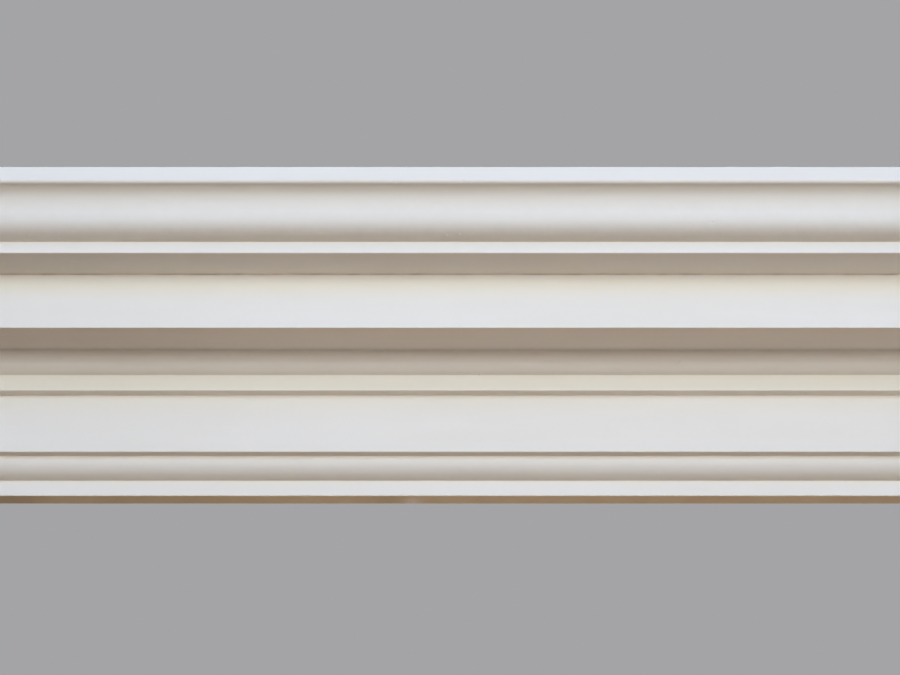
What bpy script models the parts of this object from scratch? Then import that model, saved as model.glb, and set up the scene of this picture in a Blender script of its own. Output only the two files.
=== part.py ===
"""One length of classical cornice moulding, cast solid in plaster.

The length runs along X, its face looks towards -Y and its back lies on the wall plane, y = 0.
The origin is the centre of the wall seat, the flat strip along the foot of the back.
Sizes are in metres and angles in degrees.
"""

import math

import bmesh
import bpy

# Length of the run, cut square at both ends
LENGTH = 1.000

# Members of the face, in order from the foot upwards
UNDERSIDE_DEPTH = 0.01825
FOOT_FILLET_HEIGHT = 0.0130
OVOLO_RADIUS = 0.01545
OVOLO_SOFFIT_DEPTH = 0.0082
FASCIA_HEIGHT = 0.0489
FASCIA_SOFFIT_DEPTH = 0.0094
BED_FILLET_HEIGHT = 0.0136
BED_ROUND_RADIUS = 0.01135
BED_HOLLOW_RADIUS = 0.01135
CORONA_SOFFIT_DEPTH = 0.04415
CORONA_HEIGHT = 0.0457
CROWN_SOFFIT_DEPTH = 0.03875
CROWN_FILLET_HEIGHT = 0.0098
CYMA_ROUND_RADIUS = 0.0171
CYMA_HOLLOW_RADIUS = 0.01695
TOP_FILLET_HEIGHT = 0.0134

# Which way the curved members face: 0 looks straight out from the wall and -90 straight down
FACING_OUT = 0.0
FACING_DOWN = -90.0
BED_ROUND_STARTS = -75.0
BED_ROUND_MEETS_HOLLOW = -25.0
BED_THROAT_TURNS_BACK = -120.0

# Back of the casting: two flat seats, with the corner between them left out
WALL_SEAT_HEIGHT = 0.0700
CEILING_SEAT_DEPTH = 0.0550

# Edges softened by the mould and the paint, and the fineness of the curves
ARRIS_RADIUS = 0.0006
ARRIS_SEGMENTS = 2
ARRIS_SHARPER_THAN = 30.0
ARC_STEP = 6.0

# Matt paint, a white with a little cream in it
PAINT_COLOUR = (0.85, 0.80, 0.70, 1.0)
PAINT_ROUGHNESS = 0.62


class Outline:
    """The section's outline, drawn from the foot of the wall outwards and up.

    A point is (out, up): its distance from the wall and its height above the underside.
    """

    def __init__(self):
        self.points = [(0.0, 0.0)]

    def move(self, out=0.0, up=0.0):
        """Adds a straight edge."""
        last_out, last_up = self.points[-1]
        self.points.append((last_out + out, last_up + up))

    def bend(self, radius, start, end, bulge):
        """Adds an arc whose surface turns from facing start to facing end.

        bulge is +1 for a round, whose centre lies in the plaster, and -1 for a hollow.
        """
        steps = max(2, math.ceil(abs(end - start) / ARC_STEP))
        from_out, from_up = self.points[-1]
        first = math.radians(start)
        for step in range(1, steps + 1):
            angle = math.radians(start + (end - start) * step / steps)
            self.points.append(
                (
                    from_out + bulge * radius * (math.cos(angle) - math.cos(first)),
                    from_up + bulge * radius * (math.sin(angle) - math.sin(first)),
                )
            )

    def round(self, radius, start, end):
        """Adds a round, which swells outwards."""
        self.bend(radius, start, end, 1)

    def hollow(self, radius, start, end):
        """Adds a hollow, which is cut inwards."""
        self.bend(radius, start, end, -1)


def section():
    """Points of the whole section, face first and then the back."""
    face = Outline()
    face.move(out=UNDERSIDE_DEPTH)
    face.move(up=FOOT_FILLET_HEIGHT)
    face.round(OVOLO_RADIUS, FACING_DOWN, FACING_OUT)
    face.move(out=OVOLO_SOFFIT_DEPTH)
    face.move(up=FASCIA_HEIGHT)
    face.move(out=FASCIA_SOFFIT_DEPTH)
    face.move(up=BED_FILLET_HEIGHT)
    face.round(BED_ROUND_RADIUS, BED_ROUND_STARTS, BED_ROUND_MEETS_HOLLOW)
    face.hollow(BED_HOLLOW_RADIUS, BED_ROUND_MEETS_HOLLOW, BED_THROAT_TURNS_BACK)
    face.move(out=CORONA_SOFFIT_DEPTH)
    face.move(up=CORONA_HEIGHT)
    face.move(out=CROWN_SOFFIT_DEPTH)
    face.move(up=CROWN_FILLET_HEIGHT)
    face.round(CYMA_ROUND_RADIUS, FACING_DOWN, FACING_OUT)
    face.hollow(CYMA_HOLLOW_RADIUS, FACING_OUT, FACING_DOWN)
    face.move(up=TOP_FILLET_HEIGHT)
    projection, height = face.points[-1]
    back = [(projection - CEILING_SEAT_DEPTH, height), (0.0, WALL_SEAT_HEIGHT)]
    return face.points + back


def solid_mesh(name):
    """The section carried along the length, with its lengthwise arrises marked for easing."""
    form = bmesh.new()
    start = [
        form.verts.new((-LENGTH / 2, -out, up - WALL_SEAT_HEIGHT / 2))
        for out, up in section()
    ]
    left_end = form.faces.new(start)
    grown = bmesh.ops.extrude_face_region(form, geom=[left_end], use_keep_orig=True)
    far = [item for item in grown["geom"] if isinstance(item, bmesh.types.BMVert)]
    bmesh.ops.translate(form, verts=far, vec=(LENGTH, 0.0, 0.0))
    bmesh.ops.recalc_face_normals(form, faces=form.faces)

    ease = form.edges.layers.float.new("bevel_weight_edge")
    for edge in form.edges:
        ends = [vert.co for vert in edge.verts]
        lengthwise = abs(ends[0].x - ends[1].x) > LENGTH / 2
        turn = math.degrees(edge.calc_face_angle(0.0))
        if lengthwise and turn > ARRIS_SHARPER_THAN:
            edge[ease] = 1.0

    mesh = bpy.data.meshes.new(name)
    form.to_mesh(mesh)
    form.free()
    mesh.shade_smooth()
    mesh.set_sharp_from_angle(angle=math.radians(ARRIS_SHARPER_THAN))
    return mesh


def paint():
    """Matt white paint, as one Principled material."""
    material = bpy.data.materials.new("matt_white_paint")
    material.use_nodes = True
    shader = material.node_tree.nodes["Principled BSDF"]
    shader.inputs["Base Color"].default_value = PAINT_COLOUR
    shader.inputs["Roughness"].default_value = PAINT_ROUGHNESS
    shader.inputs["Metallic"].default_value = 0.0
    material.diffuse_color = PAINT_COLOUR
    return material


def cornice_moulding():
    """The moulding as one object, with its long edges eased."""
    name = "cornice_moulding"
    moulding = bpy.data.objects.new(name, solid_mesh(name))
    moulding.data.materials.append(paint())
    bpy.context.scene.collection.objects.link(moulding)

    arrises = moulding.modifiers.new("eased_arrises", "BEVEL")
    arrises.limit_method = "WEIGHT"
    arrises.offset_type = "OFFSET"
    arrises.width = ARRIS_RADIUS
    arrises.segments = ARRIS_SEGMENTS
    return moulding


for old in list(bpy.data.objects):
    bpy.data.objects.remove(old)

cornice_moulding()
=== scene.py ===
"""A length of classical cornice moulding, cast in plaster and painted, in a plain studio.

Lengths are in metres and angles in degrees, unless a name or a comment says otherwise. The length runs
along X, its moulded face looks towards -Y, and the wall would stand at y = 0. A place on the section is
(out, up): its distance from the wall, and its height above the underside.
"""

import logging
import math
from dataclasses import dataclass, field
from enum import Enum

import bmesh
import bpy
import numpy as np
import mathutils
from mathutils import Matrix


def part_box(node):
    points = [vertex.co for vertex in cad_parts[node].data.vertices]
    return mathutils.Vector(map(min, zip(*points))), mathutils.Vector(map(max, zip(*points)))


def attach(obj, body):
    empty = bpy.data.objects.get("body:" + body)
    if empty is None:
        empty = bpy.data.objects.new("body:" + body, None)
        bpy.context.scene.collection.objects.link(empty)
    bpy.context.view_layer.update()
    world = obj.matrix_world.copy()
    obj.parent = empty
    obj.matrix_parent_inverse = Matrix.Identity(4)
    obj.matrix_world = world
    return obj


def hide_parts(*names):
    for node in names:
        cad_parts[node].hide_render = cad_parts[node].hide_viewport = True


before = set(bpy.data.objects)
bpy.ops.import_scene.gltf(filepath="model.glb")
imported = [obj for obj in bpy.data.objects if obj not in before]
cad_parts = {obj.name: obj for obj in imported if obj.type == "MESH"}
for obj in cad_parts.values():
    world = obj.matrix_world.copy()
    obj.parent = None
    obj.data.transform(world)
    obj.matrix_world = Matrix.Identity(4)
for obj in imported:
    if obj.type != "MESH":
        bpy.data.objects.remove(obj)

LOG = logging.getLogger("cornice")

Socket = bpy.types.NodeSocket
Colour = tuple[float, float, float, float]
Vector = tuple[float, float, float]
Value = Socket | Colour | Vector | float

# Where a surface looks, as an angle on the section: straight out from the wall, and straight down
FACING_OUT = 0.0
FACING_DOWN = -90.0

# Millimetres in a metre, and the decimals of a metre that give a micrometre
MILLIMETRES = 1000.0
MICROMETRE_DIGITS = 6


class Bulge(Enum):
    """Which way a curved member bends."""

    ROUND = 1.0
    HOLLOW = -1.0


class Corner(Enum):
    """What a joint between two members is."""

    ARRIS = "arris"
    INNER = "inner"
    SMOOTH = "smooth"


class Drift(Enum):
    """How a shade changes along the length."""

    LEFTWARD = "leftward"
    SPOT = "spot"


class Sum(Enum):
    """What a Math node works out, by Blender's own names."""

    ADD = "ADD"
    SUBTRACT = "SUBTRACT"
    MULTIPLY = "MULTIPLY"
    LARGER = "MAXIMUM"


class Mix(Enum):
    """What a Mix node mixes: its type, and the places of its two inputs and of its output."""

    COLOUR = ("RGBA", 6, 7, 2)
    NUMBER = ("FLOAT", 2, 3, 0)


@dataclass(frozen=True)
class Flat:
    """A flat member, given by how far it runs out from the wall and up."""

    out: float = 0.0
    up: float = 0.0

    def length(self) -> float:
        """Its length along the section."""
        return math.hypot(self.out, self.up)

    def facing(self, along: np.ndarray) -> np.ndarray:
        """Angle in radians that it faces, which is square to its run all along.

        Args:
            along: distances from its start.

        Returns:
            One angle for each distance; 0 looks straight out from the wall.
        """
        return np.full_like(along, math.atan2(-self.out, self.up))

    def run(self, along: np.ndarray) -> np.ndarray:
        """Straight line from its start.

        Args:
            along: distances from its start.

        Returns:
            (out, up) from its start, one row for each distance.
        """
        return along[:, None] / self.length() * np.array([self.out, self.up])

    def stations(self, first: float, last: float, spacing: float) -> np.ndarray:
        """Evenly spaced distances between two places on it.

        Args:
            first: distance of the first place.
            last: distance of the last place.
            spacing: widest gap between two of them.

        Returns:
            The distances, with both places among them.
        """
        return np.linspace(first, last, 1 + math.ceil((last - first) / spacing))


@dataclass(frozen=True)
class Bend:
    """A curved member, an arc whose surface turns from facing one way to facing another."""

    radius: float
    start: float
    end: float
    bulge: Bulge
    step: float = 5.5

    def length(self) -> float:
        """Its length along the section."""
        return self.radius * math.radians(abs(self.end - self.start))

    def facing(self, along: np.ndarray) -> np.ndarray:
        """Angle in radians that it faces: it turns by the distance over the radius.

        Args:
            along: distances from its start.

        Returns:
            One angle for each distance; 0 looks straight out from the wall.
        """
        way = math.copysign(1.0, self.end - self.start)
        return math.radians(self.start) + way * along / self.radius

    def run(self, along: np.ndarray) -> np.ndarray:
        """Arc from its start: the radius times the change in its facing's cosine and sine.

        Args:
            along: distances from its start.

        Returns:
            (out, up) from its start, one row for each distance.
        """
        first = math.radians(self.start)
        now = self.facing(along)
        across = np.stack([np.cos(now) - math.cos(first), np.sin(now) - math.sin(first)], axis=1)
        return self.bulge.value * self.radius * across

    def stations(self, first: float, last: float, spacing: float) -> np.ndarray:
        """Evenly spaced distances between two places on it, by its own step in degrees.

        Args:
            first: distance of the first place.
            last: distance of the last place.
            spacing: not needed on a curve, which has its own step.

        Returns:
            The distances, with both places among them.
        """
        turn = math.degrees((last - first) / self.radius)
        return np.linspace(first, last, 1 + math.ceil(turn / self.step))


@dataclass(frozen=True)
class Ring:
    """The closed outline of the section, as arrays over its points."""

    spot: np.ndarray
    facing: np.ndarray
    along: np.ndarray
    starts: dict[str, float]
    lengths: dict[str, float]

    def station(self, member: str, share: float) -> float:
        """Distance along the outline of a place on a member.

        Args:
            member: the member's name.
            share: how far along the member, from 0 to 1.

        Returns:
            The distance from the foot of the back.
        """
        return self.starts[member] + share * self.lengths[member]

    def inside(self, member: str) -> np.ndarray:
        """1 on the points of a member and 0 elsewhere.

        Args:
            member: the member's name.

        Returns:
            One number for each point of the outline, as a row.
        """
        apart = self.along - self.starts[member]
        return ((apart >= 0.0) & (apart <= self.lengths[member])).astype(float)[None, :]


@dataclass(frozen=True)
class Fleck:
    """A bead, a pinhole or a dent in the face, given by its place, its height and its width.

    Its height is negative where it is sunk. Its stops are the places that its shape needs points at, in
    widths from its centre: the centre itself, the slopes and the foot.
    """

    x: float
    member: str
    share: float
    height: float
    width: float
    stops: tuple[float, ...] = (-1.5, -1.0, -0.65, -0.3, 0.0, 0.3, 0.65, 1.0, 1.5)

    def around(self, centre: float) -> np.ndarray:
        """Places that its shape needs points at.

        Args:
            centre: where its centre is.

        Returns:
            The places, lowest first.
        """
        return centre + self.width * np.array(self.stops)


def half_turn(angle: float) -> float:
    """Brings an angle in degrees to between -180 and 180."""
    return (angle + 180.0) % 360.0 - 180.0


@dataclass(frozen=True)
class Section:
    """The moulding's section, from the foot of the wall outwards and up, and back down behind.

    An ease is how far a corner's rounding reaches along each of its two members, and steps are how many
    parts it is drawn in. Support is how far inside each end a flat has its next point, and beside is
    where the finer points lie next to an inner or a soft corner. A finer point is left out where it comes
    within the least gap of a member's own, and a flat's own points are no further apart than the spacing.
    """

    underside_depth: float = 0.01825
    foot_fillet_height: float = 0.0130
    ovolo_radius: float = 0.01545
    ovolo_soffit_depth: float = 0.0082
    fascia_height: float = 0.04875
    fascia_soffit_depth: float = 0.0094
    bed_fillet_height: float = 0.0136
    bed_round_radius: float = 0.01135
    bed_hollow_radius: float = 0.01135
    corona_soffit_depth: float = 0.04415
    corona_height: float = 0.0457
    crown_soffit_depth: float = 0.03875
    crown_fillet_height: float = 0.0098
    cyma_round_radius: float = 0.0171
    cyma_hollow_radius: float = 0.01695
    top_fillet_height: float = 0.0134
    bed_round_starts: float = -75.0
    bed_round_meets_hollow: float = -25.0
    bed_throat_turns_back: float = -120.0
    wall_seat_height: float = 0.0700
    ceiling_seat_depth: float = 0.0550
    arris_ease: float = 0.0005
    worn_arris_ease: float = 0.0010
    crown_arris_ease: float = 0.0030
    throat_lip_ease: float = 0.0024
    inner_ease: float = 0.0002
    corner_sharper_than: float = 20.0
    soft_from: float = 0.0010
    soft_steps: int = 8
    crisp_steps: int = 4
    support: float = 0.0003
    beside: tuple[float, ...] = (0.0006, 0.0011, 0.0020, 0.0036)
    least_gap: float = 0.00018
    spacing: float = 0.0120

    def face(self) -> dict[str, Flat | Bend]:
        """Members of the moulded face.

        Returns:
            The members by name, in order from the foot upwards.
        """
        return {
            "underside": Flat(out=self.underside_depth),
            "foot_fillet": Flat(up=self.foot_fillet_height),
            "ovolo": Bend(self.ovolo_radius, FACING_DOWN, FACING_OUT, Bulge.ROUND),
            "ovolo_soffit": Flat(out=self.ovolo_soffit_depth),
            "fascia": Flat(up=self.fascia_height),
            "fascia_soffit": Flat(out=self.fascia_soffit_depth),
            "bed_fillet": Flat(up=self.bed_fillet_height),
            "bed_round": Bend(
                self.bed_round_radius,
                self.bed_round_starts,
                self.bed_round_meets_hollow,
                Bulge.ROUND,
            ),
            "bed_hollow": Bend(
                self.bed_hollow_radius,
                self.bed_round_meets_hollow,
                self.bed_throat_turns_back,
                Bulge.HOLLOW,
            ),
            "corona_soffit": Flat(out=self.corona_soffit_depth),
            "corona": Flat(up=self.corona_height),
            "crown_soffit": Flat(out=self.crown_soffit_depth),
            "crown_fillet": Flat(up=self.crown_fillet_height),
            "cyma_round": Bend(self.cyma_round_radius, FACING_DOWN, FACING_OUT, Bulge.ROUND),
            "cyma_hollow": Bend(self.cyma_hollow_radius, FACING_OUT, FACING_DOWN, Bulge.HOLLOW),
            "top_fillet": Flat(up=self.top_fillet_height),
        }

    def members(self) -> dict[str, Flat | Bend]:
        """Members of the whole outline.

        Returns:
            The face's members, then the two seats of the back and the slope between them.
        """
        face = self.face()
        out, up = sum(member.run(np.array([member.length()]))[0] for member in face.values())
        back = {
            "ceiling_seat": Flat(out=-self.ceiling_seat_depth),
            "back_slope": Flat(out=self.ceiling_seat_depth - out, up=self.wall_seat_height - up),
            "wall_seat": Flat(up=-self.wall_seat_height),
        }
        return face | back

    def corner(self, member: str, turn: float) -> tuple[Corner, float]:
        """What a joint is, and how far its easing reaches along each member.

        Args:
            member: the member that starts there.
            turn: how much the surface turns there in degrees, which is positive on an arris.

        Returns:
            The kind of corner and its reach.
        """
        if abs(turn) < self.corner_sharper_than:
            return Corner.SMOOTH, 0.0
        if turn > 0.0:
            soft = {
                "foot_fillet": self.worn_arris_ease,
                "crown_fillet": self.worn_arris_ease,
                "corona_soffit": self.throat_lip_ease,
                "top_fillet": self.crown_arris_ease,
            }
            return Corner.ARRIS, soft.get(member, self.arris_ease)
        return Corner.INNER, self.inner_ease

    def corners(self, members: dict[str, Flat | Bend]) -> list[tuple[Corner, float]]:
        """The corner at each member's start, from how much the facing turns there.

        Args:
            members: the members, in order.

        Returns:
            Each corner's kind and reach.
        """
        begins = [float(member.facing(np.zeros(1))[0]) for member in members.values()]
        ends = [float(member.facing(np.array([member.length()]))[0]) for member in members.values()]
        turns = [half_turn(math.degrees(begin - ends[k - 1])) for k, begin in enumerate(begins)]
        return [self.corner(name, turn) for name, turn in zip(members, turns)]

    def shares(self, reach: float) -> np.ndarray:
        """Where a corner's points lie between its two members: three on a crisp one, seven on a soft one.

        Args:
            reach: how far the corner's easing reaches.

        Returns:
            Shares between 0 and 1, as a column.
        """
        count = self.soft_steps if reach > self.soft_from else self.crisp_steps
        return (np.arange(1, count) / count)[:, None]

    def with_finer(self, stops: np.ndarray, finer: np.ndarray) -> np.ndarray:
        """Adds finer points between a member's own, each a least gap away from those.

        Args:
            stops: the member's own points, as distances from its start.
            finer: points to add, of which those outside the member's own are left out.

        Returns:
            All of them, in order.
        """
        inside = finer[(finer > stops[0]) & (finer < stops[-1])]
        away = np.abs(inside[:, None] - stops[None, :]).min(axis=1)
        every = np.sort(np.concatenate([stops, inside[away > self.least_gap]]))
        return every[np.concatenate([[True], np.diff(every) > self.least_gap / 2])]

    def stops(
        self,
        member: Flat | Bend,
        corners: tuple[tuple[Corner, float], tuple[Corner, float]],
        flecks: list[Fleck],
    ) -> np.ndarray:
        """Distances from a member's start to its points.

        A flat has a point close to each end, so that smooth shading turns only on the corners, and a few
        more beside an inner or a soft corner. Each fleck has points of its own.

        Args:
            member: the member.
            corners: kind and reach of the corners at its start and at its end.
            flecks: the flecks on it.

        Returns:
            The distances, in order. The first is left out where the member before runs on smoothly.
        """
        (kind_in, cut_in), (kind_out, cut_out) = corners
        first, last = cut_in, member.length() - cut_out
        inside = (first + self.support * (cut_in > 0), last - self.support * (cut_out > 0))
        stops = np.unique(np.concatenate([[first], member.stations(*inside, self.spacing), [last]]))
        beside = np.array(self.beside)
        finer = [fleck.around(fleck.share * member.length()) for fleck in flecks]
        if kind_in is Corner.INNER or cut_in > self.soft_from:
            finer.append(first + beside)
        if kind_out is Corner.INNER or cut_out > self.soft_from:
            finer.append(last - beside)
        if finer:
            stops = self.with_finer(stops, np.concatenate(finer))
        return stops[1:] if kind_in is Corner.SMOOTH else stops

    def ring(self, flecks: tuple[Fleck, ...]) -> Ring:
        """Draws the whole outline, with eased arrises and paint-filled inner corners.

        Each corner is a parabola that starts and ends on its two members: the weights of its start, the
        sharp corner and its end are (1-t)(1-t), 2t(1-t) and tt.

        Args:
            flecks: the flecks, each of which needs closer points.

        Returns:
            The outline, point by point.
        """
        members = self.members()
        corners = self.corners(members)
        bodies, sharp = [], []
        start = np.zeros(2)
        for k, (name, member) in enumerate(members.items()):
            both = (corners[k], corners[(k + 1) % len(members)])
            stops = self.stops(member, both, [fleck for fleck in flecks if fleck.member == name])
            bodies.append((start + member.run(stops), member.facing(stops)))
            sharp.append(start)
            start = start + member.run(np.array([member.length()]))[0]

        spots, facings, firsts = [], [], []
        for k, (kind, reach) in enumerate(corners):
            if kind is not Corner.SMOOTH:
                share = self.shares(reach)
                before, after = bodies[k - 1][0][-1], bodies[k][0][0]
                easing = (1 - share) ** 2 * before + 2 * share * (1 - share) * sharp[k] + share**2 * after
                pull = (1 - share) * (sharp[k] - before) + share * (after - sharp[k])
                spots.append(easing)
                facings.append(np.arctan2(-pull[:, 0], pull[:, 1]))
            firsts.append(sum(len(part) for part in spots))
            spots.append(bodies[k][0])
            facings.append(bodies[k][1])

        spot = np.concatenate(spots)
        gaps = np.linalg.norm(np.diff(spot, axis=0), axis=1)
        along = np.concatenate([[0.0], np.cumsum(gaps)])
        starts = [float(along[first]) - reach for first, (_, reach) in zip(firsts, corners)]
        return Ring(
            spot=spot,
            facing=np.concatenate(facings),
            along=along,
            starts=dict(zip(members, starts)),
            lengths={name: member.length() for name, member in members.items()},
        )


@dataclass(frozen=True)
class Waves:
    """A gentle unevenness, made of plane waves with seeded directions and phases.

    It is cut off where the waves sum up to more than the crest times the square root of their count.
    """

    seed: int
    depth: float
    longest: float
    shortest: float
    across: float
    count: int = 9
    crest: float = 1.6

    def at(self, x: np.ndarray, along: np.ndarray) -> np.ndarray:
        """Sum of sine waves, from 0 down to minus the depth, so that nothing stands proud.

        Args:
            x: places along the length, as a column.
            along: places along the outline, as a row.

        Returns:
            The height at each pair of places.
        """
        pick = np.random.default_rng(self.seed)
        total = np.zeros(np.broadcast(x, along).shape)
        for _ in range(self.count):
            wave = self.shortest * (self.longest / self.shortest) ** pick.random()
            tilt = pick.normal(0.0, 1.0)
            phase = pick.random() * math.tau
            total = total + np.sin(math.tau * (x / wave + tilt * along / self.across) + phase)
        level = np.clip(total / (self.crest * math.sqrt(self.count)), -1.0, 1.0)
        return -self.depth * (0.5 + 0.5 * level)

    def past(self, x: np.ndarray, along: np.ndarray, level: float, gain: float) -> np.ndarray:
        """How far the waves sink past a level, times a gain, and 0 where they don't.

        Args:
            x: places along the length, as a column.
            along: places along the outline, as a row.
            level: depth that they have to pass.
            gain: what the rest is multiplied by.

        Returns:
            One number at each pair of places.
        """
        return np.clip(-self.at(x, along) - level, 0.0, 1.0) * gain


def falloff(distance: np.ndarray, width: float) -> np.ndarray:
    """Bell curve: e to the minus square of the distance over the width."""
    return np.exp(-((distance / width) ** 2))


@dataclass(frozen=True)
class Band:
    """A soft band of painted shade that follows a member for the whole length."""

    member: str
    share: float
    reach: float
    strength: float
    broken: bool = False

    def across(self, ring: Ring) -> np.ndarray:
        """Its strength over the section: a bell around its place.

        Args:
            ring: the outline.

        Returns:
            One number for each point of the outline, as a row.
        """
        apart = ring.along - ring.station(self.member, self.share)
        return self.strength * falloff(apart, self.reach)[None, :]


@dataclass(frozen=True)
class Shade:
    """A tone that covers one member and changes along the length."""

    member: str
    strength: float
    middle: float
    ease: float
    drift: Drift = Drift.LEFTWARD

    def over(self, ring: Ring, x: np.ndarray) -> np.ndarray:
        """Its strength over the skin: a step that rises towards the left end, or a bell.

        The step is one over one plus e to the distance over the ease.

        Args:
            ring: the outline.
            x: places along the length, as a column.

        Returns:
            One row for each place and one column for each point of the outline.
        """
        if self.drift is Drift.LEFTWARD:
            lengthwise = 1.0 / (1.0 + np.exp((x - self.middle) / self.ease))
        else:
            lengthwise = falloff(x - self.middle, self.ease)
        return self.strength * lengthwise * ring.inside(self.member)


@dataclass(frozen=True)
class Clouds:
    """A cloudy pattern: how many clouds to a metre, how many finer layers, and how strong those are.

    A stretch multiplies the scale along each axis. Where the pattern is spread, its range from low to high
    becomes to_low to to_high.
    """

    scale: float = 1.0
    detail: float = 2.0
    roughness: float = 0.5
    stretch: Vector | None = None
    low: float = 0.3
    high: float = 0.7
    to_low: float = 0.0
    to_high: float = 1.0


class Board:
    """Adds and links the nodes of one node tree."""

    def __init__(self, tree: bpy.types.NodeTree) -> None:
        """Starts on a tree, which keeps the nodes that it has."""
        self.tree = tree

    def add(self, kind: str, **settings: object) -> bpy.types.Node:
        """Adds a node.

        Args:
            kind: Blender's name for the kind of node.
            settings: properties of the node to set.

        Returns:
            The node.
        """
        node = self.tree.nodes.new(kind)
        for name, value in settings.items():
            setattr(node, name, value)
        return node

    def feed(self, socket: Socket, value: Value) -> None:
        """Links a socket to another one, or sets its number or colour.

        Args:
            socket: the input.
            value: an output socket, a number, or a colour or vector as a tuple.
        """
        if isinstance(value, Socket):
            self.tree.links.new(value, socket)
        else:
            socket.default_value = value

    def sum_up(self, operation: Sum, first: Value, second: Value) -> Socket:
        """One Math node.

        Args:
            operation: what it works out.
            first: first number or socket.
            second: second number or socket.

        Returns:
            The result's socket.
        """
        node = self.add("ShaderNodeMath", operation=operation.value)
        self.feed(node.inputs[0], first)
        self.feed(node.inputs[1], second)
        return node.outputs[0]

    def spread(
        self, value: Socket, low: float, high: float, to_low: float = 0.0, to_high: float = 1.0
    ) -> Socket:
        """Maps a range of numbers to another, smoothly, and stops at its ends.

        Args:
            value: the number's socket.
            low: start of the range.
            high: end of the range.
            to_low: what the start becomes.
            to_high: what the end becomes.

        Returns:
            The result's socket.
        """
        node = self.add("ShaderNodeMapRange", interpolation_type="SMOOTHSTEP")
        inputs = {"Value": value, "From Min": low, "From Max": high, "To Min": to_low, "To Max": to_high}
        for name, number in inputs.items():
            self.feed(node.inputs[name], number)
        return node.outputs["Result"]

    def mix(self, share: Socket, first: Value, second: Value, kind: Mix = Mix.COLOUR) -> Socket:
        """Mixes two colours or numbers.

        Args:
            share: how much of the second, from 0 to 1.
            first: the first, or its socket.
            second: the second, or its socket.
            kind: what they are.

        Returns:
            The result's socket.
        """
        data_type, at_first, at_second, at_result = kind.value
        node = self.add("ShaderNodeMix", data_type=data_type)
        self.feed(node.inputs["Factor"], share)
        self.feed(node.inputs[at_first], first)
        self.feed(node.inputs[at_second], second)
        return node.outputs[at_result]

    def noise(self, where: Socket, clouds: Clouds) -> Socket:
        """Cloudy pattern as it comes, between 0 and 1.

        Args:
            where: coordinates' socket.
            clouds: the pattern.

        Returns:
            The pattern's socket.
        """
        if clouds.stretch is not None:
            mapping = self.add("ShaderNodeMapping")
            self.feed(mapping.inputs["Vector"], where)
            self.feed(mapping.inputs["Scale"], clouds.stretch)
            where = mapping.outputs["Vector"]
        node = self.add("ShaderNodeTexNoise")
        self.feed(node.inputs["Vector"], where)
        self.feed(node.inputs["Scale"], clouds.scale)
        self.feed(node.inputs["Detail"], clouds.detail)
        self.feed(node.inputs["Roughness"], clouds.roughness)
        return node.outputs["Fac"]

    def clouded(self, where: Socket, clouds: Clouds) -> Socket:
        """Cloudy pattern, with its range spread as it says.

        Args:
            where: coordinates' socket.
            clouds: the pattern.

        Returns:
            The pattern's socket.
        """
        pattern = self.noise(where, clouds)
        return self.spread(pattern, clouds.low, clouds.high, clouds.to_low, clouds.to_high)

    def own(self, name: str) -> Socket:
        """The mesh's own attribute of that name."""
        return self.add("ShaderNodeAttribute", attribute_name=name).outputs["Fac"]

    def bump(self, height: Socket, depth: float, under: Socket | None = None) -> Socket:
        """Relief in the shading.

        Args:
            height: pattern's socket.
            depth: how deep a height of 1 is.
            under: relief that it lies on.

        Returns:
            The normal's socket.
        """
        node = self.add("ShaderNodeBump")
        self.feed(node.inputs["Strength"], 1.0)
        self.feed(node.inputs["Distance"], depth)
        self.feed(node.inputs["Height"], height)
        if under is not None:
            self.feed(node.inputs["Normal"], under)
        return node.outputs["Normal"]


@dataclass(frozen=True)
class AirHoles:
    """Air holes of one size, in patches: the middles of Voronoi cells, where a slow noise is high.

    The scale is how many cells there are to a metre, and the radius of a hole is its share of a cell. A
    hole is at its deepest, and its painted shade at its darkest, in the middle third, and a patch is three
    cells wide.
    """

    scale: float
    radius: float
    patches_from: float
    patch_fade: float = 0.08
    middle: float = 3.0
    patch_width: float = 3.0

    def draw(self, board: Board, where: Socket) -> Socket:
        """Draws them.

        Args:
            board: the material's nodes.
            where: Object coordinates.

        Returns:
            The pattern's socket, 1 in a hole and 0 elsewhere.
        """
        cells = board.add("ShaderNodeTexVoronoi", feature="F1")
        board.feed(cells.inputs["Vector"], where)
        board.feed(cells.inputs["Scale"], self.scale)
        hole = board.spread(cells.outputs["Distance"], self.radius / self.middle, self.radius, 1.0, 0.0)
        patches = Clouds(
            self.scale / self.patch_width,
            detail=1.0,
            low=self.patches_from,
            high=self.patches_from + self.patch_fade,
        )
        return board.sum_up(Sum.MULTIPLY, hole, board.clouded(where, patches))


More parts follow.
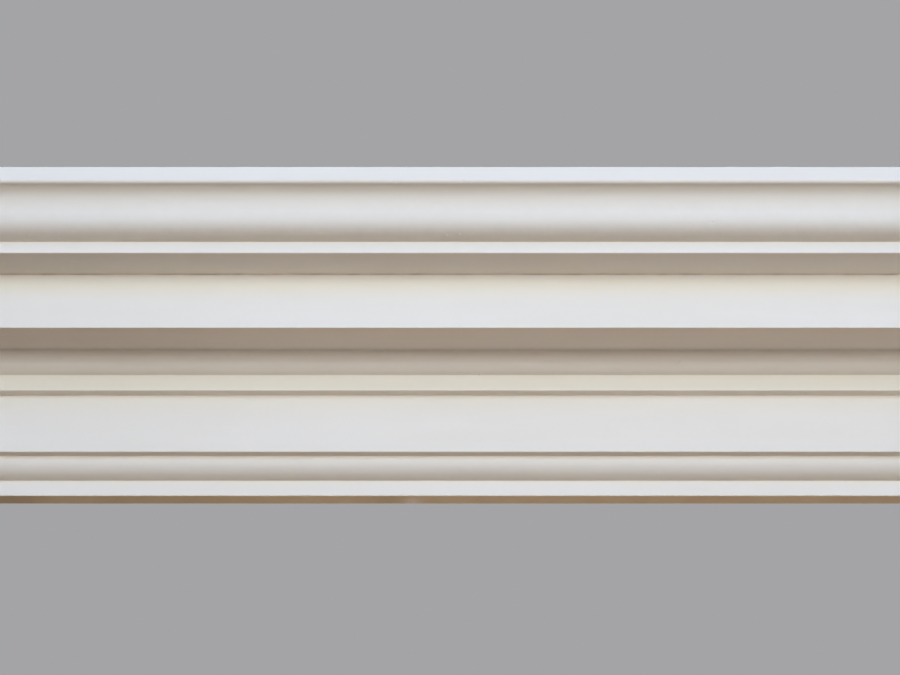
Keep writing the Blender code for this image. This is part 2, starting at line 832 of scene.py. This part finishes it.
@dataclass(frozen=True)
class PaintedPlaster:
    """Matt cream-white paint over buff cast plaster, which shows bare where the brush didn't reach.

    Each relief is a depth. A share is how much a pattern counts beside the others, and a tint is how much
    of its colour it brings at most. The paint's edge is where its reach in millimetres fades out.
    """

    paint: Colour = (0.85, 0.80, 0.70, 1.0)
    paint_shade: Colour = (0.835, 0.783, 0.680, 1.0)
    # Painted shade: the dark colour laid into inner corners, creases and hollows where shade falls
    painted_shade: Colour = (0.52, 0.45, 0.36, 1.0)
    bare: Colour = (0.84, 0.785, 0.625, 1.0)
    bare_shade: Colour = (0.775, 0.70, 0.545, 1.0)
    bare_streak: Colour = (0.70, 0.63, 0.49, 1.0)
    # The underside's darker colour: partly painted shade towards the left end, and darker patches
    underside_dark: Colour = (0.385, 0.345, 0.26, 1.0)
    smear: Colour = (0.97, 0.97, 0.95, 1.0)
    # Painted shade inside the air holes, whose depth is only in the shading's relief
    pinhole: Colour = (0.36, 0.31, 0.23, 1.0)
    bare_roughness: float = 0.88
    specular: float = 0.35
    paint_relief: float = 0.000010
    bare_relief: float = 0.00055
    underside_relief_share: float = 0.2
    drag_share: float = 0.6
    grain_share: float = 0.4
    sand_share: float = 0.45
    hole_share: float = 1.6
    hole_shade_tint: float = 0.75
    streak_tint: float = 0.55
    streaks_between: tuple[float, float] = (0.40, 0.62)
    paint_edge: tuple[float, float] = (-0.05, 0.12)
    ragged_edge: Clouds = Clouds(160.0, 3.0, 0.6, low=0.2, high=0.8, to_low=-0.45, to_high=0.45)
    cloudy_paint: Clouds = Clouds(1.0, 3.0, 0.55, stretch=(5.0, 40.0, 40.0), low=0.35, high=0.65)
    patchy_shade: Clouds = Clouds(110.0, 4.0, 0.7, to_low=0.80)
    mottle: Clouds = Clouds(28.0, 5.0, 0.62, low=0.32, high=0.70)
    patchy_smear: Clouds = Clouds(300.0, 3.0, to_low=0.90)
    gloss: Clouds = Clouds(45.0, 3.0, to_low=0.57, to_high=0.64)
    brush_drag: Clouds = Clouds(1.0, 3.0, 0.6, stretch=(6.0, 900.0, 900.0))
    brush_grain: Clouds = Clouds(2600.0, 2.0, 0.6)
    sand: Clouds = Clouds(700.0, 3.0, 0.7)
    straightedge: Clouds = Clouds(1.0, 4.0, 0.65, stretch=(3.0, 120.0, 120.0))
    saw: Clouds = Clouds(1.0, 3.0, 0.6, stretch=(1.0, 30.0, 320.0))
    small_holes: AirHoles = AirHoles(170.0, 0.22, 0.50)
    large_holes: AirHoles = AirHoles(75.0, 0.15, 0.54)

    def tool_marks(self, board: Board, where: Socket) -> Socket:
        """Marks of the straightedge along the back, and of the saw across the ends.

        Args:
            board: the material's nodes.
            where: Object coordinates.

        Returns:
            The pattern's socket, from 0 to 1.
        """
        sawn = board.own("sawn")
        not_sawn = board.sum_up(Sum.SUBTRACT, 1.0, sawn)
        struck = board.sum_up(Sum.MULTIPLY, board.noise(where, self.straightedge), not_sawn)
        saw = board.sum_up(Sum.MULTIPLY, board.noise(where, self.saw), sawn)
        return board.sum_up(Sum.ADD, struck, saw)

    def relief(self, board: Board, where: Socket, painted: Socket, marks: Socket, holes: Socket) -> Socket:
        """Drag and grain of the brush on the paint; tool marks, sand and air holes on the bare plaster.

        The bare relief is full on the back and the ends, and shallower on the underside.

        Args:
            board: the material's nodes.
            where: Object coordinates.
            painted: 1 on paint and 0 on bare plaster.
            marks: the tool marks.
            holes: the air holes.

        Returns:
            The normal's socket.
        """
        drag = board.sum_up(Sum.MULTIPLY, board.noise(where, self.brush_drag), self.drag_share)
        grain = board.sum_up(Sum.MULTIPLY, board.noise(where, self.brush_grain), self.grain_share)
        skin = board.sum_up(Sum.MULTIPLY, board.sum_up(Sum.ADD, drag, grain), painted)
        paint_skin = board.bump(skin, self.paint_relief)

        sand = board.sum_up(Sum.MULTIPLY, board.noise(where, self.sand), self.sand_share)
        sunk = board.sum_up(Sum.MULTIPLY, holes, self.hole_share)
        rough = board.sum_up(Sum.SUBTRACT, board.sum_up(Sum.ADD, marks, sand), sunk)
        strength = board.spread(board.own("unseen"), 0.0, 1.0, self.underside_relief_share, 1.0)
        strength = board.sum_up(Sum.MULTIPLY, strength, board.sum_up(Sum.SUBTRACT, 1.0, painted))
        return board.bump(board.sum_up(Sum.MULTIPLY, rough, strength), self.bare_relief, paint_skin)

    def make(self) -> bpy.types.Material:
        """Builds the material from Object coordinates and the piece's own attributes.

        Returns:
            The material.
        """
        material = bpy.data.materials.new("painted_plaster")
        material.use_nodes = True
        board = Board(material.node_tree)
        shader = material.node_tree.nodes["Principled BSDF"]
        where = board.add("ShaderNodeTexCoord").outputs["Object"]
        unseen = board.own("unseen")
        marks = self.tool_marks(board, where)
        holes = board.sum_up(
            Sum.LARGER, self.small_holes.draw(board, where), self.large_holes.draw(board, where)
        )

        reach = board.sum_up(Sum.ADD, board.own("paint_reach"), board.clouded(where, self.ragged_edge))
        painted = board.spread(reach, *self.paint_edge)
        paint = board.mix(board.clouded(where, self.cloudy_paint), self.paint, self.paint_shade)
        # Painted shade in corners, creases and hollows, patchy along the length
        painted_darkening = board.sum_up(Sum.MULTIPLY, board.own("painted_shade"), board.clouded(where, self.patchy_shade))
        paint = board.mix(painted_darkening, paint, self.painted_shade)

        bare = board.mix(board.clouded(where, self.mottle), self.bare, self.bare_shade)
        streaks = board.spread(marks, *self.streaks_between, to_high=self.streak_tint)
        bare = board.mix(board.sum_up(Sum.MULTIPLY, streaks, unseen), bare, self.bare_streak)
        # Painted shade in the air holes of the bare plaster
        hole_shade = board.sum_up(Sum.MULTIPLY, board.sum_up(Sum.MULTIPLY, holes, unseen), self.hole_shade_tint)
        bare = board.mix(hole_shade, bare, self.pinhole)
        # Underside darker towards the left end, partly painted shade, and in patches
        bare = board.mix(board.own("underside_dark"), bare, self.underside_dark)
        smudge = board.sum_up(Sum.MULTIPLY, board.own("smudge"), board.clouded(where, self.patchy_smear))
        bare = board.mix(smudge, bare, self.smear)

        board.feed(shader.inputs["Base Color"], board.mix(painted, bare, paint))
        rough = board.mix(painted, self.bare_roughness, board.clouded(where, self.gloss), Mix.NUMBER)
        board.feed(shader.inputs["Roughness"], rough)
        board.feed(shader.inputs["Specular IOR Level"], self.specular)
        board.feed(shader.inputs["Normal"], self.relief(board, where, painted, marks, holes))
        return material


@dataclass(frozen=True)
class PaleFloor:
    """Pale matt floor of the studio, with a faint cloudiness, which glows a little where it is seen.

    The studio's lights look at the moulding, far above the floor, so the floor gets its paleness from a
    glow that lights nothing else.
    """

    colour: Colour = (0.62, 0.61, 0.59, 1.0)
    shade: Colour = (0.57, 0.56, 0.54, 1.0)
    clouds: Clouds = Clouds(0.8, 4.0)
    roughness: float = 0.85
    glow: float = 0.70

    def make(self) -> bpy.types.Material:
        """Builds the material from Object coordinates.

        Returns:
            The material.
        """
        material = bpy.data.materials.new("pale_floor")
        material.use_nodes = True
        board = Board(material.node_tree)
        shader = material.node_tree.nodes["Principled BSDF"]
        where = board.add("ShaderNodeTexCoord").outputs["Object"]
        pale = board.mix(board.clouded(where, self.clouds), self.colour, self.shade)
        seen = board.add("ShaderNodeLightPath").outputs["Is Camera Ray"]
        board.feed(shader.inputs["Base Color"], pale)
        board.feed(shader.inputs["Emission Color"], pale)
        board.feed(shader.inputs["Emission Strength"], board.sum_up(Sum.MULTIPLY, seen, self.glow))
        board.feed(shader.inputs["Roughness"], self.roughness)
        return material


@dataclass
class CorniceLength:
    """The length of moulding: one solid casting, with its paint, its flecks and its cut ends.

    Its columns are points along the length and its cap rows are faces across each end. A clearance keeps
    the even columns off the finer ones of a fleck, or keeps those that stand next to an end.

    The paint reaches a little past the foot and the top of the face, and its reach is noted in
    millimetres, up to a limit. A break is where the corner waves sink past its level: there the creases
    are deeper and the painted shade is darker. The slow waves make the creases' breaks come and go.
    """

    name: str = "cornice_length"
    node: str = "cornice_moulding"
    body: str = "root"
    slot: str = "painted_plaster"
    length: float = 1.0
    columns: int = 166
    fleck_clearance: float = 0.0006
    least_column_gap: float = 0.00012
    end_ease: float = 0.0004
    end_clearance: float = 0.001
    cap_rows: int = 4
    weld_within: float = 0.000005
    least_edge: float = 0.000002
    sharper_than: float = 55.0
    section: Section = field(default_factory=Section)
    face_waves: Waves = Waves(seed=11, depth=0.00006, longest=0.60, shortest=0.12, across=0.30)
    corner_waves: Waves = Waves(seed=23, depth=1.0, longest=0.045, shortest=0.014, across=5.0)
    slow_waves: Waves = Waves(seed=31, depth=1.0, longest=0.30, shortest=0.06, across=5.0)
    back_waves: Waves = Waves(seed=47, depth=0.00045, longest=0.25, shortest=0.03, across=0.12)
    break_gain: float = 1.6
    slow_gain: float = 1.5
    slow_from: float = 0.2
    slow_least: float = 0.15
    creases: tuple[tuple[str, float], ...] = (("crown_soffit", 1.0), ("fascia_soffit", 0.15))
    crease_depth: float = 0.00035
    crease_width: float = 0.00028
    crease_least: float = 0.35
    crease_breaks_past: float = 0.35
    shade_least: float = 0.35
    shade_breaks_past: float = 0.30
    paint_past_foot: float = 0.0002
    paint_past_top: float = 0.0004
    reach_limit: float = 20.0
    reach_on_ends: float = -4.0
    smear_x: float = -0.0300
    smear_width: float = 0.0062
    smear_in: float = 0.002
    smear_depth: float = 0.011
    flecks: tuple[Fleck, ...] = (
        Fleck(-0.1462, "crown_soffit", 0.035, 0.00050, 0.0015),
        Fleck(-0.0031, "cyma_round", 0.290, 0.00045, 0.0017),
        Fleck(0.0070, "cyma_round", 0.325, 0.00055, 0.0015),
        Fleck(-0.0418, "cyma_hollow", 0.865, 0.00055, 0.0015),
        Fleck(0.0098, "top_fillet", 0.065, -0.00030, 0.0014),
        Fleck(0.0242, "bed_round", 0.060, 0.00050, 0.0015),
        Fleck(0.3079, "crown_soffit", 0.100, 0.00045, 0.0014),
        Fleck(-0.3246, "cyma_round", 0.290, 0.00045, 0.0015),
        Fleck(0.2633, "corona_soffit", 0.235, -0.00060, 0.0011),
        Fleck(0.1833, "bed_hollow", 0.055, -0.00060, 0.0011),
        Fleck(0.2015, "cyma_round", 0.695, -0.00050, 0.0010),
        Fleck(-0.0300, "underside", 0.575, -0.00050, 0.0110),
    )
    # Bands of painted shade: the throat under the corona, the crown corner's crease, the top of the crown
    # fillet, the lower cyma round, the cyma's middle and the upper cyma hollow
    painted_darkening: tuple[Band, ...] = (
        Band("crown_soffit", 0.026, 0.0013, 0.50, broken=True),
        Band("bed_hollow", 0.867, 0.0050, 0.75),
        Band("corona_soffit", 0.045, 0.0045, 0.30),
        Band("crown_fillet", 0.850, 0.0050, 0.13),
        Band("cyma_round", 0.400, 0.0068, 0.45),
        Band("cyma_round", 1.000, 0.0075, 0.19),
        Band("cyma_hollow", 0.624, 0.0035, 0.12),
        Band("cyma_hollow", 0.842, 0.0024, 0.14),
    )
    # Painted shade on the two soffits: darker towards the left end, as the light falls off there
    left_falloff_shade: tuple[Shade, ...] = (
        Shade("corona_soffit", 0.36, -0.20, 0.045),
        Shade("crown_soffit", 0.26, -0.22, 0.045),
    )
    # Darker on the underside: two steps towards the left end, partly painted shade of the light falling off
    # there, and two darker patches
    underside_darkening: tuple[Shade, ...] = (
        Shade("underside", 0.20, -0.190, 0.030),
        Shade("underside", 0.36, -0.335, 0.008),
        Shade("underside", 0.30, -0.050, 0.012, Drift.SPOT),
        Shade("underside", 0.10, -0.230, 0.060, Drift.SPOT),
    )

    def places(self) -> np.ndarray:
        """Where the columns stand along X: evenly, closer at each fleck, and just inside each end.

        Returns:
            The places, from the left end to the right.
        """
        full = self.length / 2 - self.end_ease
        even = np.linspace(-full, full, self.columns)
        near = [fleck.around(fleck.x) for fleck in self.flecks]
        fine = np.sort(np.concatenate(near))
        gap = np.abs(even[:, None] - fine[None, :]).min(axis=1)
        keep = (gap > self.fleck_clearance) | (np.abs(even) > full - self.end_clearance)
        x = np.unique(np.round(np.concatenate([even[keep], fine]), MICROMETRE_DIGITS))
        x = x[np.concatenate([[True], np.diff(x) > self.least_column_gap])]
        return np.concatenate([[-self.length / 2], x, [self.length / 2]])

    def heights(self, ring: Ring, x: np.ndarray) -> np.ndarray:
        """How far each point of the surface stands out from the plain section.

        The face is a shade uneven, the back more so, two inner corners have a broken crease of varying
        depth, and each fleck is a small bell standing up or sunk in.

        Args:
            ring: the outline.
            x: places of the columns.

        Returns:
            One row for each column and one column for each point of the outline.
        """
        across = x[:, None]
        along = ring.along[None, :]
        back = (along > ring.starts["ceiling_seat"]).astype(float)
        height = self.face_waves.at(across, along) * (1.0 - back) + self.back_waves.at(across, along) * back

        broken = self.corner_waves.past(across, along, self.crease_breaks_past, self.break_gain)
        slow = -self.slow_waves.at(across, along * 0.0) * self.slow_gain - self.slow_from
        deeper = broken * np.clip(slow, self.slow_least, 1.0)
        for member, strength in self.creases:
            inside = falloff(along - ring.starts[member], self.crease_width)
            height = height - self.crease_depth * strength * inside * (self.crease_least + deeper)

        for fleck in self.flecks:
            apart = np.hypot(across - fleck.x, along - ring.station(fleck.member, fleck.share))
            height = height + fleck.height * falloff(apart, fleck.width / 2)
        return height

    def side(self, ring: Ring, x: np.ndarray) -> np.ndarray:
        """The skin from end to end: the outline, moved along its own facing by the heights.

        Args:
            ring: the outline.
            x: places of the columns.

        Returns:
            Corner points as columns by outline points by 3.
        """
        height = self.heights(ring, x)
        height[[0, -1]] -= self.end_ease
        look = np.stack([np.cos(ring.facing), np.sin(ring.facing)], axis=1)
        spot = ring.spot[None] + height[:, :, None] * look[None]
        lift = self.section.wall_seat_height / 2
        lengthwise = np.broadcast_to(x[:, None], height.shape)
        return np.stack([lengthwise, -spot[..., 0], spot[..., 1] - lift], axis=2)

    def cap(self, ring: Ring, rim: np.ndarray) -> np.ndarray:
        """A cut end: lines ruled from the face to the back across the section.

        The face and the back both climb in out + up, from the lowest point to the highest, so that each
        line joins two points of nearly the same climb, and the lines never leave the section.

        Args:
            ring: the outline.
            rim: the end's edge, a point for each point of the outline.

        Returns:
            Corner points as ruled lines by rows by 3.
        """
        climb = ring.spot.sum(axis=1)
        bottom, top = int(climb.argmin()), int(climb.argmax())
        face = np.arange(bottom, top + 1)
        back = np.concatenate([np.arange(bottom, -1, -1), np.arange(len(climb) - 1, top - 1, -1)])
        steps = np.unique(np.concatenate([climb[face], climb[back]]))
        on_face = face[np.clip(np.searchsorted(climb[face], steps, side="right") - 1, 0, None)]
        on_back = back[np.clip(np.searchsorted(climb[back], steps, side="right") - 1, 0, None)]
        share = np.linspace(0.0, 1.0, self.cap_rows + 1)[None, :, None]
        return rim[on_face][:, None] * (1.0 - share) + rim[on_back][:, None] * share

    def build(self) -> bpy.types.Object:
        """Makes the closed mesh and its attributes.

        Returns:
            The piece, at the origin, with its place in its mesh.
        """
        ring = self.section.ring(self.flecks)
        x = self.places()
        side = self.side(ring, x)
        low, high = (np.array(corner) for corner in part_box(self.node))
        side = np.clip(side, low, high)
        caps = [self.cap(ring, side[0]), self.cap(ring, side[-1])]

        count, points = side.shape[:2]
        index = np.arange(count * points).reshape(count, points)
        around = np.roll(index, -1, axis=1)
        quads = [np.stack([index[:-1], index[1:], around[1:], around[:-1]], axis=2).reshape(-1, 4)]
        base = count * points
        for way, cap in zip((1, -1), caps):
            grid = base + np.arange(cap.shape[0] * cap.shape[1]).reshape(cap.shape[:2])
            cell = np.stack([grid[:-1, :-1], grid[1:, :-1], grid[1:, 1:], grid[:-1, 1:]], axis=2)
            quads.append(cell.reshape(-1, 4)[:, ::way])
            base += grid.size
        place = np.concatenate([side.reshape(-1, 3)] + [cap.reshape(-1, 3) for cap in caps])

        mesh = bpy.data.meshes.new(self.name)
        mesh.from_pydata(place.tolist(), [], np.concatenate(quads).tolist())
        for name, value in self.marks(ring, x, len(place)).items():
            mesh.attributes.new(name, "FLOAT", "POINT").data.foreach_set("value", value.astype(np.float32))
        self.close(mesh)
        piece = bpy.data.objects.new(self.name, mesh)
        bpy.context.scene.collection.objects.link(piece)
        return piece

    def marks(self, ring: Ring, x: np.ndarray, total: int) -> dict[str, np.ndarray]:
        """Attributes that the finish reads, point by point; the two ends come after the skin.

        Args:
            ring: the outline.
            x: places of the columns.
            total: how many points the mesh has.

        Returns:
            paint_reach, in millimetres inside the painted area; painted_shade, shade painted into corners,
            creases and hollows; underside_dark, darker towards the left end and in patches; smudge; each as
            a strength; unseen, 1 on the back and the ends; and sawn, 1 on the ends.
        """
        lower = ring.starts["foot_fillet"] - self.paint_past_foot
        upper = ring.starts["ceiling_seat"] + self.paint_past_top
        reach = np.minimum(ring.along - lower, upper - ring.along)[None, :]
        reach = np.minimum(reach, (self.length / 2 - np.abs(x))[:, None]) * MILLIMETRES
        reach = np.clip(reach, -self.reach_limit, self.reach_limit)

        across = x[:, None]
        along = ring.along[None, :]
        breaks = self.corner_waves.past(across, along * 0.0, self.shade_breaks_past, self.break_gain)
        patchy = self.shade_least + breaks
        # Painted shade: the bands, patchy where broken, and the soffits' painted shade towards the left end
        painted_darkening = sum(band.across(ring) * (patchy if band.broken else 1.0) for band in self.painted_darkening)
        painted_darkening = painted_darkening + sum(shade.over(ring, across) for shade in self.left_falloff_shade)
        underside_dark = sum(shade.over(ring, across) for shade in self.underside_darkening)
        smudge = falloff(across - self.smear_x, self.smear_width)
        smudge = smudge * falloff(along - self.smear_in, self.smear_depth) * ring.inside("underside")
        unseen = (along > ring.starts["ceiling_seat"]).astype(float)

        skin_and_ends = {
            "paint_reach": (reach, self.reach_on_ends),
            "painted_shade": (painted_darkening, 0.0),
            "underside_dark": (underside_dark, 0.0),
            "smudge": (smudge, 0.0),
            "unseen": (unseen, 1.0),
            "sawn": (np.zeros((1, 1)), 1.0),
        }
        marks = {}
        for name, (on_skin, on_ends) in skin_and_ends.items():
            marks[name] = np.full(total, on_ends)
            marks[name][: reach.size] = np.broadcast_to(on_skin, reach.shape).ravel()
        return marks

    def close(self, mesh: bpy.types.Mesh) -> None:
        """Welds the ends to the skin, points all faces outwards and shades the skin smooth.

        Args:
            mesh: the mesh, which is changed in place.
        """
        form = bmesh.new()
        form.from_mesh(mesh)
        bmesh.ops.remove_doubles(form, verts=form.verts, dist=self.weld_within)
        bmesh.ops.dissolve_degenerate(form, edges=form.edges, dist=self.least_edge)
        bmesh.ops.recalc_face_normals(form, faces=form.faces)
        loose = [edge for edge in form.edges if not edge.is_manifold]
        LOG.info("%s: %d faces, %d open edges", self.name, len(form.faces), len(loose))
        form.to_mesh(mesh)
        form.free()
        mesh.shade_smooth()
        mesh.set_sharp_from_angle(angle=math.radians(self.sharper_than))

    def dress(self, piece: bpy.types.Object) -> None:
        """Gives the piece its finish and says what it rides on and stands for.

        Args:
            piece: the piece.
        """
        piece.data.materials.append(PaintedPlaster().make())
        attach(piece, self.body)
        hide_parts(self.node)


@dataclass(frozen=True)
class Softbox:
    """A long soft light that looks at the moulding.

    Its elevation is the angle at which it stands: 0 is straight out from the wall, 90 is above, and past
    90 or -90 it stands behind the wall plane. Its side angle swings it round towards +X. Its spread is the
    angle that it covers up and down, its long side is level, and its radiance is red, green and blue.
    """

    name: str
    elevation: float
    spread: float
    radiance: Vector
    away: float = 3.0
    long: float = 5.0
    shift: float = 0.0
    side: float = 0.0

    def hang(self, aim: Vector) -> bpy.types.Object:
        """Hangs the light.

        Its width covers the spread as seen from the aim: twice the distance times the tangent of half.
        Its power is pi times its area times its radiance.

        Args:
            aim: the place that it looks at.

        Returns:
            The light.
        """
        light = bpy.data.lights.new(self.name, "AREA")
        light.shape = "RECTANGLE"
        light.size = self.long
        light.size_y = 2.0 * self.away * math.tan(math.radians(self.spread / 2))
        strongest = max(self.radiance)
        light.energy = math.pi * light.size * light.size_y * strongest
        light.color = tuple(part / strongest for part in self.radiance)
        lamp = bpy.data.objects.new(self.name, light)
        angle = math.radians(self.elevation)
        swing = math.radians(self.side)
        lamp.location = (
            aim[0] + self.shift + self.away * math.cos(angle) * math.sin(swing),
            aim[1] - self.away * math.cos(angle) * math.cos(swing),
            aim[2] + self.away * math.sin(angle),
        )
        lamp.rotation_euler = (math.pi / 2 - angle, 0.0, swing)
        lamp.visible_camera = False
        bpy.context.scene.collection.objects.link(lamp)
        return lamp


@dataclass(frozen=True)
class Studio:
    """The plain studio: grey air, a pale floor far below, soft lights and the camera.

    The lens and its sensor are in millimetres.
    """

    aim: Vector = (0.0, -0.1916, 0.02643)
    look_up: float = 23.9
    away: float = 1.862
    lens: float = 100.0
    sensor: float = 36.0
    sees_to: float = 100.0
    air: Colour = (0.371, 0.371, 0.381, 1.0)
    ambient: Colour = (0.05, 0.05, 0.05, 1.0)
    floor_drop: float = 4.3
    floor_size: float = 14.0
    lights: tuple[Softbox, ...] = (
        Softbox("front_low", -4.0, 8.0, (6.50, 6.72, 7.28), away=2.2, long=2.0, shift=0.16),
        Softbox("front", 4.0, 8.0, (5.81, 6.54, 7.18), away=2.2, long=2.0, shift=0.16),
        Softbox("front_high", 12.0, 8.0, (5.06, 5.93, 5.58), away=2.2, long=2.0, shift=0.16),
        Softbox("sky_low", 24.0, 16.0, (1.21, 1.74, 3.64), away=2.5, long=3.0, shift=0.16),
        Softbox("sky_high", 58.0, 34.0, (0.38, 0.475, 0.80), long=5.0),
        Softbox("low", -50.0, 20.0, (2.20, 1.37, 0.80), away=1.4, long=0.9, shift=0.12),
        Softbox("low_behind", -135.0, 30.0, (0.99, 0.53, 0.14), away=1.6, long=1.6, shift=0.1),
        Softbox("overhead", 110.0, 36.0, (1.1, 1.1, 1.1), long=4.0),
        Softbox("behind", 155.0, 50.0, (1.5, 1.55, 1.65), long=4.0),
        Softbox("left_end", 10.0, 40.0, (2.4, 2.4, 2.45), long=2.0, side=-110.0),
        Softbox("right_end", 10.0, 40.0, (2.2, 2.2, 2.25), long=2.0, side=110.0),
    )

    def open_air(self) -> None:
        """Sets the air: one grey where the camera sees it, and a dimmer one that lights the room."""
        world = bpy.data.worlds.new("air")
        world.use_nodes = True
        bpy.context.scene.world = world
        board = Board(world.node_tree)
        background = world.node_tree.nodes["Background"]
        seen = board.add("ShaderNodeLightPath").outputs["Is Camera Ray"]
        board.feed(background.inputs["Color"], board.mix(seen, self.ambient, self.air))
        board.feed(background.inputs["Strength"], 1.0)

    def lay_floor(self) -> None:
        """Lays the floor, a level square."""
        half = self.floor_size / 2
        square = np.array([[-half, -half], [half, -half], [half, half], [-half, half]])
        place = np.column_stack([square, np.full(len(square), -self.floor_drop)])
        mesh = bpy.data.meshes.new("floor")
        mesh.from_pydata(place.tolist(), [], [(0, 1, 2, 3)])
        mesh.materials.append(PaleFloor().make())
        floor = bpy.data.objects.new("floor", mesh)
        bpy.context.scene.collection.objects.link(floor)

    def set_camera(self) -> None:
        """Stands the camera below and in front of the moulding, looking up at it."""
        lens = bpy.data.cameras.new("camera")
        lens.lens = self.lens
        lens.sensor_width = self.sensor
        lens.clip_end = self.sees_to
        camera = bpy.data.objects.new("camera", lens)
        tilt = math.radians(self.look_up)
        camera.location = (
            self.aim[0],
            self.aim[1] - self.away * math.cos(tilt),
            self.aim[2] - self.away * math.sin(tilt),
        )
        camera.rotation_euler = (math.pi / 2 + tilt, 0.0, 0.0)
        bpy.context.scene.collection.objects.link(camera)
        bpy.context.scene.camera = camera

    def build(self) -> None:
        """Sets up the whole studio."""
        scene = bpy.context.scene
        scene.view_settings.view_transform = "Standard"
        self.open_air()
        self.lay_floor()
        for softbox in self.lights:
            softbox.hang(self.aim)
        self.set_camera()


def main() -> None:
    """Builds the moulding and the studio, and reports each piece."""
    logging.basicConfig(level=logging.INFO, format="%(name)s: %(message)s")
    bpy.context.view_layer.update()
    moulding = CorniceLength()
    piece = moulding.build()
    moulding.dress(piece)
    LOG.info("%s replaces %s on %s", piece.name, moulding.node, moulding.body)
    Studio().build()


if __name__ == "__main__":
    main()
